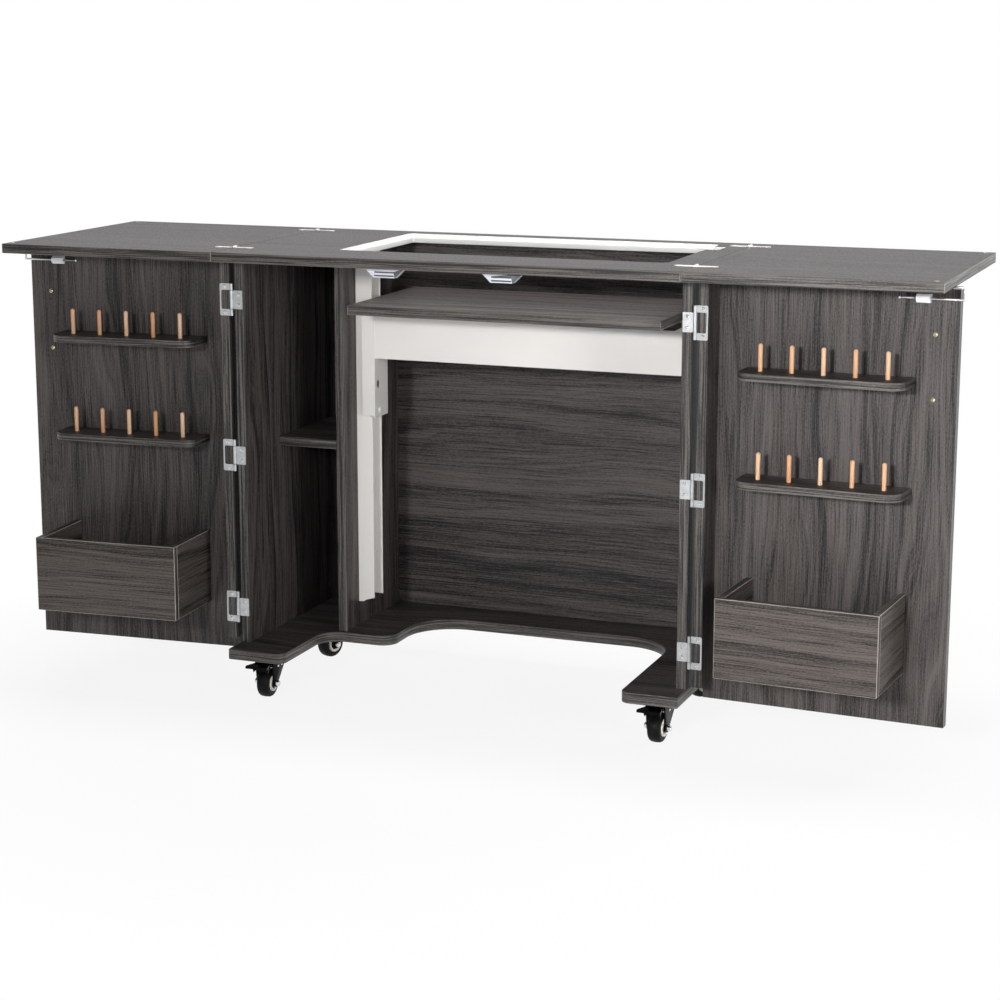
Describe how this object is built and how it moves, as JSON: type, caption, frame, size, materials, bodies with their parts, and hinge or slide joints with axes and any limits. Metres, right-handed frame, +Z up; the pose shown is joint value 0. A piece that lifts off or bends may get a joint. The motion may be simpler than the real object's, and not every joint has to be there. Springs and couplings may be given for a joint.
{
  "type": "sewing cabinet",
  "caption": "Wheeled sewing cabinet with fold-out leaves, a machine lift under an opening in the top, and storage doors with thread pegs and open bins.",
  "frame": {"origin": "middle of the base of the object's bounding box, on the floor, in the opened-out pose", "axes": "+X to the right along the open leaves, +Y to the back, +Z up; -Y is the side where a person sits"},
  "size_m": [1.619, 0.4918, 0.771],
  "materials": {
    "laminate": "charcoal woodgrain laminate, satin",
    "top_laminate": "charcoal woodgrain laminate, satin, lit from above",
    "liner_plastic": "moulded, off-white",
    "white_steel": "powder coated, warm white",
    "catch_plastic": "moulded, bluish white",
    "cap_plastic": "moulded, dark brown",
    "zinc": "bright zinc plate",
    "brushed_metal": "brushed nickel",
    "wire_steel": "bright drawn wire",
    "black_steel": "gloss black",
    "tyre": "black polyurethane with a cream hub ring",
    "beech": "plain dowel",
    "clear_bumper": "clear",
    "clip_plastic": "moulded, translucent white",
    "nylon": "moulded, white"
  },
  "bodies": {
    "carcass": {"base_panel": "laminate", "left_side_panel": "laminate", "right_side_panel": "laminate", "divider_panel": "laminate", "back_panel": "laminate", "compartment_shelf": "laminate", "centre_top": "top_laminate", "opening_liner": "liner_plastic", "lift_rails": "white_steel", "door_catches": "catch_plastic", "cover_caps": "cap_plastic", "side_hinge_plates": "zinc", "top_hinge_plates": "zinc", "caster_plates": "black_steel"},
    "lift_carriage": {"lift_platform": "laminate", "lift_brackets": "white_steel", "lift_apron": "white_steel", "glide_blocks": "nylon", "lift_bolts": "nylon"},
    "left_door": {"left_door_panel": "laminate", "left_door_stile": "laminate", "left_thread_shelves": "laminate", "left_thread_pegs": "beech", "left_bin_front": "laminate", "left_bin_sides": "laminate", "left_bin_bottom": "laminate", "left_hinge_frames": "zinc", "left_wire_clip": "clip_plastic", "left_pull": "brushed_metal", "left_strike_plate": "zinc"},
    "left_support_wire": {"left_support_wire": "wire_steel"},
    "left_leaf": {"left_leaf": "top_laminate", "left_leaf_hinges": "zinc", "left_leaf_bumpers": "clear_bumper"},
    "right_door": {"right_door_panel": "laminate", "right_door_stile": "laminate", "right_thread_shelves": "laminate", "right_thread_pegs": "beech", "right_bin_front": "laminate", "right_bin_sides": "laminate", "right_bin_bottom": "laminate", "right_hinge_frames": "zinc", "right_wire_clip": "clip_plastic", "right_pull": "brushed_metal", "right_strike_plate": "zinc"},
    "right_support_wire": {"right_support_wire": "wire_steel"},
    "right_leaf": {"right_leaf": "top_laminate", "right_leaf_hinges": "zinc", "right_leaf_bumpers": "clear_bumper"},
    "front_left_fork": {"front_left_fork": "black_steel"},
    "front_left_wheel": {"front_left_wheel": "tyre"},
    "front_left_pedal": {"front_left_pedal": "black_steel"},
    "front_right_fork": {"front_right_fork": "black_steel"},
    "front_right_wheel": {"front_right_wheel": "tyre"},
    "front_right_pedal": {"front_right_pedal": "black_steel"},
    "back_left_fork": {"back_left_fork": "black_steel"},
    "back_left_wheel": {"back_left_wheel": "tyre"},
    "back_right_fork": {"back_right_fork": "black_steel"},
    "back_right_wheel": {"back_right_wheel": "tyre"}
  },
  "joints": [
    {"name": "lift_slide", "type": "slide", "parent": "carcass", "child": "lift_carriage", "axis": [0, 0, 1], "range_m": [-0.3, 0.093]},
    {"name": "left_door_hinge", "type": "hinge", "parent": "carcass", "child": "left_door", "pos_m": [-0.4, -0.13012, 0.418], "axis": [0, 0, 1], "range_deg": [-3.8, 176.2]},
    {"name": "left_leaf_fold", "type": "hinge", "parent": "carcass", "child": "left_leaf", "pos_m": [-0.3975, 0.02088, 0.769], "axis": [0, 1, 0], "range_deg": [0, 180]},
    {"name": "left_support_wire_turn", "type": "hinge", "parent": "left_door", "child": "left_support_wire", "pos_m": [-0.74646, -0.10452, 0.7325], "axis": [0.9978, 0.0663, 0], "range_deg": [0, 180]},
    {"name": "right_door_hinge", "type": "hinge", "parent": "carcass", "child": "right_door", "pos_m": [0.4, -0.13012, 0.418], "axis": [0, 0, -1], "range_deg": [-3.8, 176.2]},
    {"name": "right_leaf_fold", "type": "hinge", "parent": "carcass", "child": "right_leaf", "pos_m": [0.3975, 0.02088, 0.769], "axis": [0, -1, 0], "range_deg": [0, 180]},
    {"name": "right_support_wire_turn", "type": "hinge", "parent": "right_door", "child": "right_support_wire", "pos_m": [0.74619, -0.10851, 0.7325], "axis": [0.9978, -0.0663, 0], "range_deg": [0, 180]},
    {"name": "front_left_swivel", "type": "hinge", "parent": "carcass", "child": "front_left_fork", "pos_m": [-0.35, -0.10712, 0.065], "axis": [0, 0, 1], "continuous": true},
    {"name": "front_left_wheel_spin", "type": "hinge", "parent": "front_left_fork", "child": "front_left_wheel", "pos_m": [-0.34969, -0.12512, 0.025], "axis": [0.9998, 0.0175, 0], "continuous": true},
    {"name": "front_left_brake", "type": "hinge", "parent": "front_left_fork", "child": "front_left_pedal", "pos_m": [-0.34955, -0.13311, 0.058], "axis": [0.9998, 0.0175, 0], "range_deg": [0, 8]},
    {"name": "front_right_swivel", "type": "hinge", "parent": "carcass", "child": "front_right_fork", "pos_m": [0.35, -0.10712, 0.065], "axis": [0, 0, 1], "continuous": true},
    {"name": "front_right_wheel_spin", "type": "hinge", "parent": "front_right_fork", "child": "front_right_wheel", "pos_m": [0.34874, -0.12507, 0.025], "axis": [0.9976, -0.0698, 0], "continuous": true},
    {"name": "front_right_brake", "type": "hinge", "parent": "front_right_fork", "child": "front_right_pedal", "pos_m": [0.34819, -0.13306, 0.058], "axis": [0.9976, -0.0698, 0], "range_deg": [0, 8]},
    {"name": "back_left_swivel", "type": "hinge", "parent": "carcass", "child": "back_left_fork", "pos_m": [-0.35, 0.15988, 0.065], "axis": [0, 0, 1], "continuous": true},
    {"name": "back_left_wheel_spin", "type": "hinge", "parent": "back_left_fork", "child": "back_left_wheel", "pos_m": [-0.35616, 0.14297, 0.025], "axis": [0.9397, -0.342, 0], "continuous": true},
    {"name": "back_right_swivel", "type": "hinge", "parent": "carcass", "child": "back_right_fork", "pos_m": [0.35, 0.15988, 0.065], "axis": [0, 0, 1], "continuous": true},
    {"name": "back_right_wheel_spin", "type": "hinge", "parent": "back_right_fork", "child": "back_right_wheel", "pos_m": [0.341, 0.14429, 0.025], "axis": [0.866, -0.5, 0], "continuous": true}
  ]
}
